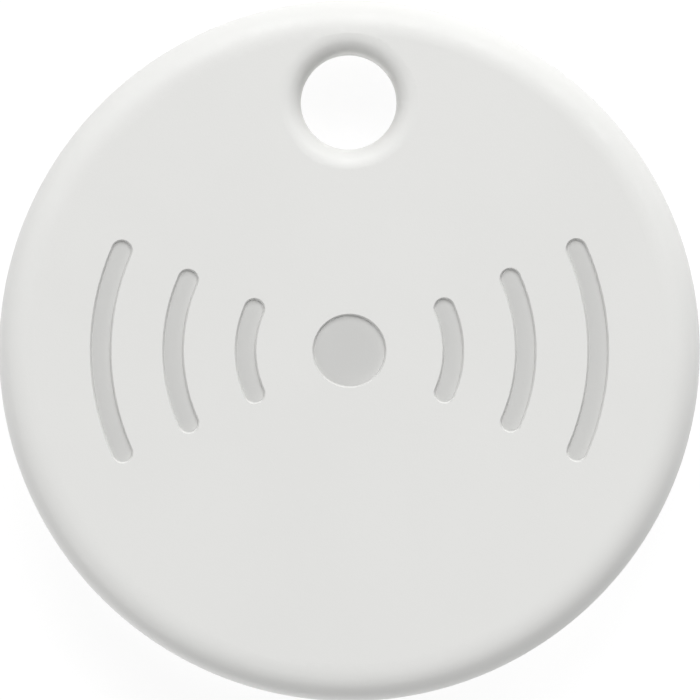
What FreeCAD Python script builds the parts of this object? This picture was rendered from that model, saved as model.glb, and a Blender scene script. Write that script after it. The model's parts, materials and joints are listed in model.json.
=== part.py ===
"""Round key-ring tracker tag: two snap-together shells round a coin cell, a circuit board and a sounder.

The back face lies on Z = 0, +Z points out of the front face and +Y points to the key hole.
All sizes are in millimetres. Each function makes one piece, and PARTS lists the pieces by name.
"""

import FreeCAD, Part
import math
import os

V = FreeCAD.Vector

# how far joined pieces and cutters run past the faces where they meet
OVERLAP = 0.1

# ---- outside shape ----
TAG_R = 18.95
TAG_THICK = 6.4
RIM_WIDE = 2.05
RIM_HIGH = 2.5
RIM_POWER = 2.75
KEY_Y = 13.46
KEY_R = 2.6
KEY_ROUND = 1.15
KEY_POWER = 2.2
SHOULDER_STEPS = 12

# ---- shells ----
FACE_WALL = 0.8
BORE_R = 17.55
INNER_ROUND = 1.2
SEAM_LOW = 3.05
SEAM_GAP = 0.3
PRESS_TRAVEL = 0.25
TONGUE_TOP = 4.05
TONGUE_THICK = 0.6
TONGUE_GAP = 0.1
SEAL_TOP = 4.85
SEAL_SLACK = 0.05
SEAL_EDGE = 0.12
KEY_BOSS_R = 3.6
KEY_CAP_R = 3.9
KEY_SLEEVE_R = 3.0
KEY_RIB_LONG = 3.2
KEY_RIB_WIDE = 1.2
KEY_RIB_Y = KEY_Y + KEY_BOSS_R + 0.3
SEAM_HIGH = SEAM_LOW + SEAM_GAP
CEILING = TAG_THICK - FACE_WALL
TONGUE_OUT = BORE_R + TONGUE_THICK
SKIRT_IN = TONGUE_OUT + TONGUE_GAP

# ---- snap beads and the pry notch in the seam ----
SNAP_ANGLES = (10, 50, 130, 170, 230, 310)
SNAP_HALF_DEG = 5
BEAD_PROUD = 0.08
BEAD_LOW = SEAM_HIGH + 0.15
BEAD_TOP = BEAD_LOW + 0.25
POCKET_DEEP = 0.12
POCKET_LOW = SEAM_HIGH + 0.1
NOTCH_HALF_WIDTH = 4.0
NOTCH_HIGH = 0.6
NOTCH_DEEP = 0.6
NOTCH_REACH = 1.0

# ---- emblem sunk into the front face ----
EMBLEM_DEEP = 0.2
EMBLEM_DRAFT = 0.1
EMBLEM_STROKE = 1.17
EMBLEM_RADII = (5.6, 9.5, 13.4)
EMBLEM_HALF_DEG = 24
EMBLEM_DOT_R = 2.0

# ---- coin cell, and what stands round it ----
CELL_Y = -1.9
CELL_R = 10.0
CELL_LOW = 1.5
CELL_HIGH = 3.2
CELL_TOP = CELL_LOW + CELL_HIGH
CAN_WALL = 0.25
CRIMP_Z = CELL_LOW + 0.25
CAP_R = 9.1
CRIMP_R = 9.4
TRAY_IN = 10.2
TRAY_OUT = 11.0
TRAY_TOP = 4.2
LEDGE_IN = 9.45
LEDGE_TOP = CRIMP_Z - 0.05
TRAY_MIDDLE = (TRAY_IN + TRAY_OUT) / 2
WEB_THICK = 0.8
WEB_TOP = 3.1
FINGER_ANGLE = -28
FINGER_LOW = CRIMP_Z + 0.8
FINGER_DEEP = 2.0
FINGER_WIDE = 6.0

# ---- inside the coin cell ----
CAN_EDGE = 0.5
CAN_ROLL = 0.4
CAN_INSIDE = CELL_R - CAN_WALL
CAN_CEILING = CELL_TOP - CAN_WALL
GASKET_LOW = CRIMP_Z - 0.03
GASKET_STEP = CRIMP_Z + 0.45
GASKET_BEVEL = 0.3
GASKET_LIP_R = 8.85
GASKET_SHELF = CAN_CEILING - 0.25
CAP_EDGE = 0.45
LITHIUM_R = 8.55
LITHIUM_TOP = CELL_LOW + 0.85
PELLET_R = 8.8
PELLET_LOW = CELL_LOW + 0.95

# ---- circuit board and the posts that hold it ----
BOARD_R = 16.5
BOARD_LOW = FACE_WALL + 0.05
BOARD_THICK = 0.5
BOARD_TOP = BOARD_LOW + BOARD_THICK
BOARD_BITE_R = 3.9
BOARD_RIB_IN = 15.5
BOARD_RIB_OUT = 16.1
POST_RHO = 12.6
POST_ANGLES = (35, 145, 270)
POST_R = 0.55
POST_HOLE_R = 0.65
POST_HEAD_R = 1.0
POST_HEAD_HIGH = 0.4
POST_HEAD_SIDE = 0.12
POST_HEAD_FLAT_R = 0.6
EAR_R = 1.6
EAR_THICK = 0.6

# ---- sounder under the front face ----
PIEZO_X = -2.6
PIEZO_Y = -2.9
PIEZO_R = 12.25
PIEZO_SEAT_IN = 11.35
PIEZO_SEAT_HIGH = 0.15
GLUE_THICK = 0.03
GLUE_IN = 11.45
GLUE_OUT = 12.15
PLATE_THICK = 0.1
CERAMIC_R = 10.0
CERAMIC_THICK = 0.12
SILVER_R = 9.8
SILVER_THICK = 0.02
PLATE_TOP = CEILING - PIEZO_SEAT_HIGH - GLUE_THICK
PLATE_LOW = PLATE_TOP - PLATE_THICK
CERAMIC_LOW = PLATE_LOW - CERAMIC_THICK
SILVER_LOW = CERAMIC_LOW - SILVER_THICK

# ---- coil springs that feed the sounder: x, y and the height where each one touches ----
SPRING_AT = {"silver": (-12.0, -2.6, SILVER_LOW), "plate": (-13.2, -6.8, PLATE_LOW)}
SPRING_COIL_R = 0.6
SPRING_WIRE_R = 0.11
SPRING_TURNS = 7
TOWER_OUT = 1.35
TOWER_IN = 0.85
TOWER_TOP = 3.7

# ---- contacts of the coin cell ----
CLIP_ANGLE = 62
CLIP_WIDTH = 2.6
CLIP_THICK = 0.18
CLIP_GAP_HALF = 1.8
CLIP_GAP_DEEP = 2.4
CLIP_TOUCH = CELL_R + 0.02 + CLIP_THICK / 2
SPIDER_ANGLES = (90, 210, 330)
SPIDER_HUB_R = 2.0
SPIDER_PAD_R = 1.0
SPIDER_ARM = 6.0
SPIDER_WIDTH = 1.7
SPIDER_THICK = 0.1
DIMPLE_R = 0.6
DIMPLE_SINK = 0.02
INSULATOR_IN = 7.2
INSULATOR_OUT = 9.35
INSULATOR_THICK = 0.05

# ---- tact switch under the front face ----
SWITCH_RHO = 13.0
SWITCH_ANGLE = -54
SWITCH_LONG = 3.2
SWITCH_WIDE = 2.6
SWITCH_LIFT = 0.05
SWITCH_BASE_LONG = 2.9
SWITCH_BASE_TOP = 2.3
SWITCH_WELL_R = 1.15
SWITCH_WELL_LOW = 1.75
SWITCH_LID_THICK = 0.12
SWITCH_LID_HOLE_R = 0.8
SWITCH_LID_LONG = 3.14
LUG_X = 1.51
LUG_LOW = BOARD_TOP + 0.35
LUG_THICK = 0.12
LUG_WIDE = 1.6
DOME_R = 1.0
DOME_TOP = 2.1
DOME_THICK = 0.08
PLUNGER_FLANGE_R = 1.0
PLUNGER_FLANGE_TOP = 2.27
PLUNGER_R = 0.7
PLUNGER_TOP = 3.15
PLUNGER_EDGE = 0.12
PRESS_POST_R = 0.8
TERMINAL_X = 1.0
TERMINAL_OUT = 0.12
TERMINAL_SIDE = 0.5
TERMINAL_THICK = 0.15


class Pen:
    """Draws a closed outline edge by edge in the plane of radius and height."""

    def __init__(self, r, z):
        self.start = self.at = V(r, 0, z)
        self.edges = []

    def line(self, r, z):
        end = V(r, 0, z)
        self.edges.append(Part.LineSegment(self.at, end).toShape())
        self.at = end
        return self

    def arc(self, centre_r, centre_z, end_deg):
        """Goes the short way round a centre, to an angle counted from the radius axis towards +Z."""
        centre = V(centre_r, 0, centre_z)
        spoke = self.at - centre
        start_deg = math.degrees(math.atan2(spoke.z, spoke.x))
        sweep = (end_deg - start_deg + 180) % 360 - 180
        points = []
        for deg in (start_deg + sweep / 2, end_deg):
            turn = math.radians(deg)
            points.append(centre + V(math.cos(turn), 0, math.sin(turn)) * spoke.Length)
        self.edges.append(Part.Arc(self.at, points[0], points[1]).toShape())
        self.at = points[1]
        return self

    def shoulder(self, centre_r, centre_z, end_r, end_z, power):
        """A quarter of a superellipse: it leaves flat surfaces more gently than an arc, and turns later."""
        centre = V(centre_r, 0, centre_z)
        first = self.at - centre
        last = V(end_r, 0, end_z) - centre
        points = []
        for i in range(SHOULDER_STEPS + 1):
            turn = math.pi / 2 * i / SHOULDER_STEPS
            near = max(0.0, math.cos(turn))
            far = math.sin(turn)
            size = (near ** power + far ** power) ** (-1 / power)
            points.append(centre + (first * near + last * far) * size)
        curve = Part.BSplineCurve()
        curve.interpolate(Points=points, InitialTangent=last, FinalTangent=first * -1)
        self.edges.append(curve.toShape())
        self.at = points[-1]
        return self

    def spin(self, x=0.0, y=0.0, degrees=360, start_deg=0):
        """Closes the outline and turns it about the upright axis through x, y."""
        if not self.at.isEqual(self.start, 1e-6):
            self.line(self.start.x, self.start.z)
        solid = Part.Face(Part.Wire(self.edges)).revolve(V(), V(0, 0, 1), degrees)
        solid.rotate(V(), V(0, 0, 1), start_deg)
        solid.translate(V(x, y, 0))
        return solid


def disc(x, y, low, high, radius):
    return Part.makeCylinder(radius, high - low, V(x, y, low))


def ring(x, y, low, high, inner, outer):
    return disc(x, y, low, high, outer).cut(disc(x, y, low, high, inner))


def block(x, y, low, high, along, across, turn=0.0):
    """A box centred on x, y, with its first side turned from +X by an angle."""
    box = Part.makeBox(along, across, high - low, V(-along / 2, -across / 2, low))
    box.rotate(V(), V(0, 0, 1), turn)
    box.translate(V(x, y, 0))
    return box


def is_upright(edge):
    return abs(edge.tangentAt(edge.FirstParameter).z) > math.cos(math.radians(45))


def joined(shapes):
    """One solid made of shapes that meet."""
    shapes = list(shapes)
    return shapes[0].fuse(shapes[1:]).removeSplitter()


def round_cell(rho, degrees):
    """The point at a distance and a direction from the cell's centre."""
    turn = math.radians(degrees)
    return rho * math.cos(turn), CELL_Y + rho * math.sin(turn)


def facing_cell(shape, degrees):
    """Turns a shape made along +X to a direction from the cell's centre, and puts it there."""
    placed = shape.copy()
    placed.rotate(V(), V(0, 0, 1), degrees)
    placed.translate(V(0, CELL_Y, 0))
    return placed


def at_board(shape, place, turn):
    """Turns a shape made round the origin, and puts it at a distance and direction from the cell's centre."""
    placed = shape.copy()
    placed.rotate(V(), V(0, 0, 1), turn)
    x, y = round_cell(*place)
    placed.translate(V(x, y, 0))
    return placed


def ribbon(points, thickness, width):
    """A bent strip that follows points of the X and Z plane, as wide as asked along Y."""
    half = thickness / 2
    left = []
    right = []
    for i, (u, z) in enumerate(points):
        before = points[max(i - 1, 0)]
        after = points[min(i + 1, len(points) - 1)]
        into = V(u - before[0], 0, z - before[1]) if i else V(after[0] - u, 0, after[1] - z)
        out = V(after[0] - u, 0, after[1] - z) if i < len(points) - 1 else into
        into.normalize()
        out.normalize()
        mitre = V(-into.z - out.z, 0, into.x + out.x)
        mitre.normalize()
        reach = half / mitre.dot(V(-into.z, 0, into.x))
        left.append(V(u, -width / 2, z) + mitre * reach)
        right.append(V(u, -width / 2, z) - mitre * reach)
    outline = Part.makePolygon(left + right[::-1] + left[:1])
    return Part.Face(outline).extrude(V(0, width, 0))


# ---------------------------------------------------------------- shells


def emblem_cutter():
    """Three pairs of arcs either side of a dot, with sloping sides: a plain radio wave sign."""
    low = TAG_THICK - EMBLEM_DEEP
    high = TAG_THICK + OVERLAP
    slope = EMBLEM_DRAFT * (high - low) / EMBLEM_DEEP
    half = EMBLEM_STROKE / 2
    cutters = [Part.makeCone(EMBLEM_DOT_R - EMBLEM_DRAFT, EMBLEM_DOT_R - EMBLEM_DRAFT + slope, high - low,
                             V(0, 0, low))]
    for radius in EMBLEM_RADII:
        for side in (0, 180):
            stroke = Pen(radius - half + EMBLEM_DRAFT, low).line(radius + half - EMBLEM_DRAFT, low)
            stroke.line(radius + half - EMBLEM_DRAFT + slope, high)
            stroke.line(radius - half + EMBLEM_DRAFT - slope, high)
            arc = stroke.spin(degrees=2 * EMBLEM_HALF_DEG, start_deg=side - EMBLEM_HALF_DEG)
            ends = []
            for end in (-EMBLEM_HALF_DEG, EMBLEM_HALF_DEG):
                turn = math.radians(side + end)
                centre = V(radius * math.cos(turn), radius * math.sin(turn), low)
                bottom_r = half - EMBLEM_DRAFT
                ends.append(Part.makeCone(bottom_r, bottom_r + slope, high - low, centre))
            cutters.append(arc.fuse(ends))
    return Part.makeCompound(cutters)


def key_round_cutter(face_z, inward):
    """What rounds the key hole's edge at a face; inward is -1 under the front face and +1 over the back."""
    wall_z = face_z + inward * KEY_ROUND
    outside = face_z - inward * OVERLAP
    mouth_r = KEY_R + KEY_ROUND
    outline = Pen(KEY_R, wall_z).line(KEY_R, outside).line(mouth_r, outside).line(mouth_r, face_z)
    outline.shoulder(mouth_r, wall_z, KEY_R, wall_z, KEY_POWER)
    return outline.spin(0, KEY_Y)


def snap_sector(inner, outer, low, high, degrees):
    outline = Pen(inner, low).line(outer, low).line(outer, high).line(inner, high)
    return outline.spin(degrees=2 * SNAP_HALF_DEG, start_deg=degrees - SNAP_HALF_DEG)


def front_cover():
    flat_r = TAG_R - RIM_WIDE
    wall_z = TAG_THICK - RIM_HIGH
    inner_r = BORE_R - INNER_ROUND
    inner_z = CEILING - INNER_ROUND
    rise = SEAL_TOP - inner_z
    groove_in = inner_r + math.sqrt(INNER_ROUND ** 2 - rise ** 2)
    outline = Pen(0, TAG_THICK).line(flat_r, TAG_THICK).shoulder(flat_r, wall_z, TAG_R, wall_z, RIM_POWER)
    outline.line(TAG_R, SEAM_HIGH).line(SKIRT_IN, SEAM_HIGH).line(SKIRT_IN, SEAL_TOP)
    outline.line(groove_in, SEAL_TOP).arc(inner_r, inner_z, 90).line(0, CEILING)
    shell = outline.spin()
    switch_x, switch_y = round_cell(SWITCH_RHO, SWITCH_ANGLE)
    inside = [
        disc(0, KEY_Y, SEAL_TOP, CEILING + OVERLAP, KEY_CAP_R),
        disc(0, KEY_Y, SEAM_HIGH, CEILING + OVERLAP, KEY_SLEEVE_R),
        ring(PIEZO_X, PIEZO_Y, CEILING - PIEZO_SEAT_HIGH, CEILING + OVERLAP, PIEZO_SEAT_IN, PIEZO_R),
        disc(switch_x, switch_y, PLUNGER_TOP, CEILING + OVERLAP, PRESS_POST_R),
    ]
    shell = shell.fuse(inside)
    cuts = [disc(0, KEY_Y, 0, TAG_THICK + OVERLAP, KEY_R), key_round_cutter(TAG_THICK, -1), emblem_cutter()]
    for degrees in SNAP_ANGLES:
        cuts.append(snap_sector(SKIRT_IN - OVERLAP, SKIRT_IN + POCKET_DEEP, POCKET_LOW, TONGUE_TOP, degrees))
    return shell.cut(cuts).removeSplitter()


def board_posts():
    """Posts that pass through the board and the tray's ears and end in flattened heads."""
    head_low = BOARD_TOP + EAR_THICK
    posts = []
    for degrees in POST_ANGLES:
        x, y = round_cell(POST_RHO, degrees)
        dome = Pen(0, head_low).line(POST_HEAD_R, head_low).line(POST_HEAD_R, head_low + POST_HEAD_SIDE)
        dome.line(POST_HEAD_FLAT_R, head_low + POST_HEAD_HIGH).line(0, head_low + POST_HEAD_HIGH)
        posts.append(disc(x, y, FACE_WALL - OVERLAP, head_low + OVERLAP, POST_R))
        posts.append(dome.spin(x, y))
    return posts


def back_cover():
    flat_r = TAG_R - RIM_WIDE
    inner_r = BORE_R - INNER_ROUND
    outline = Pen(0, 0).line(flat_r, 0).shoulder(flat_r, RIM_HIGH, TAG_R, RIM_HIGH, RIM_POWER)
    outline.line(TAG_R, SEAM_LOW).line(TONGUE_OUT, SEAM_LOW).line(TONGUE_OUT, TONGUE_TOP)
    outline.line(BORE_R, TONGUE_TOP).line(BORE_R, FACE_WALL + INNER_ROUND)
    outline.arc(inner_r, FACE_WALL + INNER_ROUND, -90).line(0, FACE_WALL)
    shell = outline.spin()
    inside = [
        disc(0, KEY_Y, FACE_WALL - OVERLAP, SEAM_LOW, KEY_BOSS_R),
        ring(0, KEY_Y, SEAM_LOW - OVERLAP, TONGUE_TOP, KEY_SLEEVE_R + TONGUE_GAP, KEY_BOSS_R),
        block(0, KEY_RIB_Y, FACE_WALL - OVERLAP, SEAM_LOW, KEY_RIB_LONG, KEY_RIB_WIDE),
        ring(0, 0, FACE_WALL - OVERLAP, BOARD_LOW, BOARD_RIB_IN, BOARD_RIB_OUT),
    ]
    inside += board_posts()
    for degrees in SNAP_ANGLES:
        inside.append(snap_sector(TONGUE_OUT - OVERLAP, TONGUE_OUT + BEAD_PROUD, BEAD_LOW, BEAD_TOP, degrees))
    shell = shell.fuse(inside)
    cuts = [disc(0, KEY_Y, -OVERLAP, TONGUE_TOP + OVERLAP, KEY_R), key_round_cutter(0, 1), pry_notch()]
    return shell.cut(cuts).removeSplitter()


def pry_notch():
    """A shallow pocket in the seam, opposite the key hole, with round ends."""
    low = SEAM_LOW - NOTCH_HIGH
    high = SEAM_LOW + OVERLAP
    depth = NOTCH_DEEP + NOTCH_REACH
    middle = Part.makeBox(2 * NOTCH_HALF_WIDTH, depth, high - low, V(-NOTCH_HALF_WIDTH, 0, low))
    ends = []
    for side in (-1, 1):
        foot = V(side * NOTCH_HALF_WIDTH, 0, low + NOTCH_HIGH)
        end = Part.makeCylinder(NOTCH_HIGH, depth, foot, V(0, 1, 0))
        ends.append(end.common(Part.makeBox(2 * TAG_R, depth, high - low, V(-TAG_R, 0, low))))
    notch = middle.fuse(ends)
    notch.translate(V(0, -(TAG_R - NOTCH_DEEP) - NOTCH_REACH, 0))
    return notch.cut(disc(0, 0, low - OVERLAP, high + OVERLAP, TAG_R - NOTCH_DEEP))


def seal_ring(x, y, inner, outer):
    """A soft ring that stands on the back half's tongue, with round edges."""
    low = TONGUE_TOP
    high = SEAL_TOP
    edge = SEAL_EDGE
    outline = Pen(inner + edge, low).line(outer - edge, low).arc(outer - edge, low + edge, 0)
    outline.line(outer, high - edge).arc(outer - edge, high - edge, 90).line(inner + edge, high)
    outline.arc(inner + edge, high - edge, 180).line(inner, low + edge)
    outline.arc(inner + edge, low + edge, 270)
    return outline.spin(x, y)


def perimeter_seal():
    return seal_ring(0, 0, BORE_R + SEAL_SLACK, SKIRT_IN - SEAL_SLACK)


def key_hole_seal():
    return seal_ring(0, KEY_Y, KEY_SLEEVE_R + SEAL_SLACK, KEY_BOSS_R - SEAL_SLACK)


# ---------------------------------------------------------------- sounder


def piezo_glue():
    return ring(PIEZO_X, PIEZO_Y, PLATE_TOP, PLATE_TOP + GLUE_THICK, GLUE_IN, GLUE_OUT)


def piezo_plate():
    return disc(PIEZO_X, PIEZO_Y, PLATE_LOW, PLATE_TOP, PIEZO_R)


def piezo_ceramic():
    return disc(PIEZO_X, PIEZO_Y, CERAMIC_LOW, PLATE_LOW, CERAMIC_R)


def piezo_silver():
    return disc(PIEZO_X, PIEZO_Y, SILVER_LOW, CERAMIC_LOW, SILVER_R)


def sounder_spring(name):
    """A helical spring from the board up to the sounder."""
    x, y, top = SPRING_AT[name]
    low = BOARD_TOP + SPRING_WIRE_R
    rise = top - SPRING_WIRE_R - low
    helix = Part.Wire(Part.makeHelix(rise / SPRING_TURNS, rise, SPRING_COIL_R))
    section = Part.Wire(Part.makeCircle(SPRING_WIRE_R, V(SPRING_COIL_R, 0, 0), V(0, 1, 0)))
    spring = helix.makePipeShell([section], True, True)
    spring.translate(V(x, y, low))
    return spring


# ---------------------------------------------------------------- tray and cell


def battery_tray():
    cell = (0, CELL_Y)
    tray = ring(*cell, BOARD_TOP, TRAY_TOP, TRAY_IN, TRAY_OUT)
    ledge = ring(*cell, BOARD_TOP, LEDGE_TOP, LEDGE_IN, TRAY_IN + OVERLAP)
    added = [ledge]
    holes = []
    for degrees in POST_ANGLES:
        x, y = round_cell(POST_RHO, degrees)
        middle = round_cell((POST_RHO + TRAY_MIDDLE) / 2, degrees)
        reach = POST_RHO - TRAY_MIDDLE
        added.append(disc(x, y, BOARD_TOP, BOARD_TOP + EAR_THICK, EAR_R))
        added.append(block(*middle, BOARD_TOP, BOARD_TOP + EAR_THICK, reach, 2 * EAR_R, degrees))
        holes.append(disc(x, y, 0, TRAY_TOP, POST_HOLE_R))
    for x, y, _ in SPRING_AT.values():
        inward = math.degrees(math.atan2(y - CELL_Y, x))
        rho = math.hypot(x, y - CELL_Y)
        web = round_cell((rho + TRAY_MIDDLE) / 2, inward)
        added.append(disc(x, y, BOARD_TOP, TOWER_TOP, TOWER_OUT))
        added.append(block(*web, BOARD_TOP, WEB_TOP, rho - TRAY_MIDDLE, WEB_THICK, inward))
        holes.append(disc(x, y, 0, TRAY_TOP, TOWER_IN))
    top = TRAY_TOP + OVERLAP
    gap_at = round_cell(TRAY_MIDDLE, CLIP_ANGLE)
    gap = block(*gap_at, BOARD_TOP - OVERLAP, top, CLIP_GAP_DEEP, 2 * CLIP_GAP_HALF, CLIP_ANGLE)
    finger_at = round_cell(TRAY_MIDDLE, FINGER_ANGLE)
    finger = block(*finger_at, FINGER_LOW, top, FINGER_DEEP, FINGER_WIDE, FINGER_ANGLE)
    return tray.fuse(added).cut(holes + [gap, finger]).removeSplitter()


def battery_can():
    """The positive half: a flat face with a round edge and a side rolled in under the gasket."""
    edge_r = CELL_R - CAN_EDGE
    edge_z = CELL_TOP - CAN_EDGE
    roll_r = CELL_R - CAN_ROLL
    roll_z = CRIMP_Z + CAN_ROLL
    outline = Pen(0, CELL_TOP).line(edge_r, CELL_TOP).arc(edge_r, edge_z, 0).line(CELL_R, roll_z)
    outline.arc(roll_r, roll_z, -90).line(CRIMP_R, CRIMP_Z).line(CRIMP_R, CRIMP_Z + CAN_WALL)
    outline.line(roll_r, CRIMP_Z + CAN_WALL).arc(roll_r, roll_z, 0).line(CAN_INSIDE, edge_z)
    outline.arc(edge_r, edge_z, 90).line(0, CAN_CEILING)
    return outline.spin(0, CELL_Y)


def battery_gasket():
    """A thin ring between can and cap: wide at the roll, bevelled at the top and turned in over the cap."""
    outline = Pen(CAP_R, GASKET_LOW).line(CRIMP_R, GASKET_LOW).line(CRIMP_R, GASKET_STEP)
    outline.line(CAN_INSIDE, GASKET_STEP).line(CAN_INSIDE, CAN_CEILING - GASKET_BEVEL)
    outline.line(CAN_INSIDE - GASKET_BEVEL, CAN_CEILING).line(GASKET_LIP_R, CAN_CEILING)
    outline.line(GASKET_LIP_R, GASKET_SHELF).line(CAP_R, GASKET_SHELF)
    return outline.spin(0, CELL_Y)


def battery_cap():
    """The negative half: a shallow cup inside the gasket."""
    edge_r = CAP_R - CAP_EDGE
    edge_z = CELL_LOW + CAP_EDGE
    outline = Pen(0, CELL_LOW).line(edge_r, CELL_LOW).arc(edge_r, edge_z, 0).line(CAP_R, GASKET_SHELF)
    outline.line(CAP_R - CAN_WALL, GASKET_SHELF).line(CAP_R - CAN_WALL, edge_z).arc(edge_r, edge_z, -90)
    outline.line(0, CELL_LOW + CAN_WALL)
    return outline.spin(0, CELL_Y)


def lithium_disc():
    return disc(0, CELL_Y, CELL_LOW + CAN_WALL, LITHIUM_TOP, LITHIUM_R)


def cell_separator():
    return disc(0, CELL_Y, LITHIUM_TOP, PELLET_LOW, PELLET_R)


def cathode_pellet():
    return disc(0, CELL_Y, PELLET_LOW, CAN_CEILING, PELLET_R)


def negative_contact():
    """A flat spider of three arms with a dimple at each end, which the cell's cap rests on."""
    top = BOARD_TOP + SPIDER_THICK
    pieces = [disc(0, CELL_Y, BOARD_TOP, top, SPIDER_HUB_R)]
    for degrees in SPIDER_ANGLES:
        middle = round_cell(SPIDER_ARM / 2, degrees)
        end = round_cell(SPIDER_ARM, degrees)
        bump = CELL_LOW - top
        ball_r = (DIMPLE_R ** 2 + bump ** 2) / (2 * bump)
        ball = Part.makeSphere(ball_r, V(end[0], end[1], CELL_LOW - ball_r))
        pieces.append(block(*middle, BOARD_TOP, top, SPIDER_ARM, SPIDER_WIDTH, degrees))
        pieces.append(disc(*end, BOARD_TOP, top, SPIDER_PAD_R))
        pieces.append(ball.common(disc(*end, top - DIMPLE_SINK, CELL_LOW + OVERLAP, SPIDER_PAD_R)))
    return joined(pieces)


# the strip's middle line: distance from the cell's centre, and height above the board
CLIP_SIDE = (
    (13.1, 0.09), (11.75, 0.09), (11.5, 0.19), (11.4, 0.44), (11.4, 2.15), (11.3, 2.5), (11.05, 2.67),
    (10.78, 2.6), (10.55, 2.35), (10.25, 1.9), (CLIP_TOUCH, 1.6), (10.2, 1.27), (10.4, 1.0),
)


def positive_contact():
    """A bent strip on the board whose bowed arm presses on the side of the cell."""
    side = [(rho, BOARD_TOP + height) for rho, height in CLIP_SIDE]
    return facing_cell(ribbon(side, CLIP_THICK, CLIP_WIDTH), CLIP_ANGLE)


def insulator_ring():
    return ring(0, CELL_Y, BOARD_TOP, BOARD_TOP + INSULATOR_THICK, INSULATOR_IN, INSULATOR_OUT)


# ---------------------------------------------------------------- circuit board and its parts


def circuit_board():
    board = disc(0, 0, BOARD_LOW, BOARD_TOP, BOARD_R)
    holes = [disc(0, KEY_Y, 0, TAG_THICK, BOARD_BITE_R)]
    for degrees in POST_ANGLES:
        holes.append(disc(*round_cell(POST_RHO, degrees), 0, TAG_THICK, POST_HOLE_R))
    return board.cut(holes)


# each line: distance and direction from the cell's centre, and the turn of the part's long side
CAPACITOR_AT = (
    (11.9, 10, 100), (13.1, 10, 100), (14.3, 10, 100), (12.0, -16, 74), (13.2, -16, 74), (14.4, -16, 74),
    (11.9, -36, 54), (14.5, -36, 54), (12.1, -67, 23), (13.3, -67, 23), (12.0, -104.5, -14.5),
    (13.2, -104.5, -14.5), (12.0, -135, -45), (14.1, -136, -46), (11.8, 118, 28), (13.3, 26, 26),
)
RESISTOR_AT = (
    (13.2, -36, 54), (11.9, -41.5, 48.5), (13.1, -41.5, 48.5), (14.3, -41.5, 48.5), (12.0, 168, 78),
    (13.2, 168, 78), (14.4, 168, 78), (12.2, 160, 70), (13.4, 160, 70), (12.0, -76, 14), (14.5, 26, 26),
)
CHIP_LONG = 1.0
CHIP_WIDE = 0.5
CHIP_END = 0.22
CHIP_LIFT = 0.03
CHIP_END_PROUD = 0.02
CHIP_END_WIDE = 0.54
CAPACITOR_HIGH = 0.5
RESISTOR_HIGH = 0.35


def chip_bodies(places, high):
    bodies = []
    for rho, degrees, turn in places:
        x, y = round_cell(rho, degrees)
        low = BOARD_TOP + CHIP_LIFT
        bodies.append(block(x, y, low, BOARD_TOP + high, CHIP_LONG - 2 * CHIP_END, CHIP_WIDE, turn))
    return Part.makeCompound(bodies)


def chip_ends(places, high):
    top = BOARD_TOP + high + CHIP_END_PROUD
    ends = []
    for rho, degrees, turn in places:
        x, y = round_cell(rho, degrees)
        off = (CHIP_LONG - CHIP_END) / 2
        for side in (-1, 1):
            end_x = x + side * off * math.cos(math.radians(turn))
            end_y = y + side * off * math.sin(math.radians(turn))
            ends.append(block(end_x, end_y, BOARD_TOP, top, CHIP_END, CHIP_END_WIDE, turn))
    return Part.makeCompound(ends)


RADIO_AT = (13.3, -3.0)
RADIO_SIDE = 4.0
RADIO_LOW = BOARD_TOP + 0.04
RADIO_TOP = BOARD_TOP + 0.85
RADIO_DOT_AT = (-1.52, 1.52)
RADIO_DOT_R = 0.2
RADIO_DOT_DEEP = 0.05
RADIO_MIDDLE_LAND = 2.6
RADIO_LAND_LONG = 0.5
RADIO_LAND_WIDE = 0.22
RADIO_LAND_PITCH = 0.4
RADIO_LAND_OUT = 0.15
RADIO_LANDS = 8


def radio_chip():
    """A flat square package with a dimple by its first pin."""
    body = block(0, 0, RADIO_LOW, RADIO_TOP, RADIO_SIDE, RADIO_SIDE)
    chip = body.cut(disc(*RADIO_DOT_AT, RADIO_TOP - RADIO_DOT_DEEP, RADIO_TOP + OVERLAP, RADIO_DOT_R))
    return at_board(chip, RADIO_AT, RADIO_AT[1])


def radio_chip_lands():
    """One wide land under the middle of the package and a row along each side."""
    lands = [block(0, 0, BOARD_TOP, RADIO_LOW, RADIO_MIDDLE_LAND, RADIO_MIDDLE_LAND)]
    x = (RADIO_SIDE - RADIO_LAND_LONG) / 2 + RADIO_LAND_OUT
    for side in range(4):
        for i in range(RADIO_LANDS):
            y = (i - (RADIO_LANDS - 1) / 2) * RADIO_LAND_PITCH
            land = block(x, y, BOARD_TOP, RADIO_LOW, RADIO_LAND_LONG, RADIO_LAND_WIDE)
            land.rotate(V(), V(0, 0, 1), 90 * side)
            lands.append(land)
    return at_board(Part.makeCompound(lands), RADIO_AT, RADIO_AT[1])


# name: distance, direction, turn, length, width, base height, lid height
CRYSTALS = {
    "radio_crystal": (13.1, 18.0, 108, 2.0, 1.6, 0.4, 0.2),
    "clock_crystal": (13.4, -26.0, 64, 3.2, 1.5, 0.5, 0.3),
}
LID_MARGIN = 0.25
LID_ROUND = 0.2


def crystal_base(name):
    rho, degrees, turn, along, across, base, _ = CRYSTALS[name]
    return block(*round_cell(rho, degrees), BOARD_TOP, BOARD_TOP + base, along, across, turn)


def crystal_lid(name):
    rho, degrees, turn, along, across, base, lid = CRYSTALS[name]
    low = BOARD_TOP + base
    top = block(*round_cell(rho, degrees), low, low + lid, along - LID_MARGIN, across - LID_MARGIN, turn)
    return top.makeFillet(LID_ROUND, [edge for edge in top.Edges if is_upright(edge)])


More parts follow.
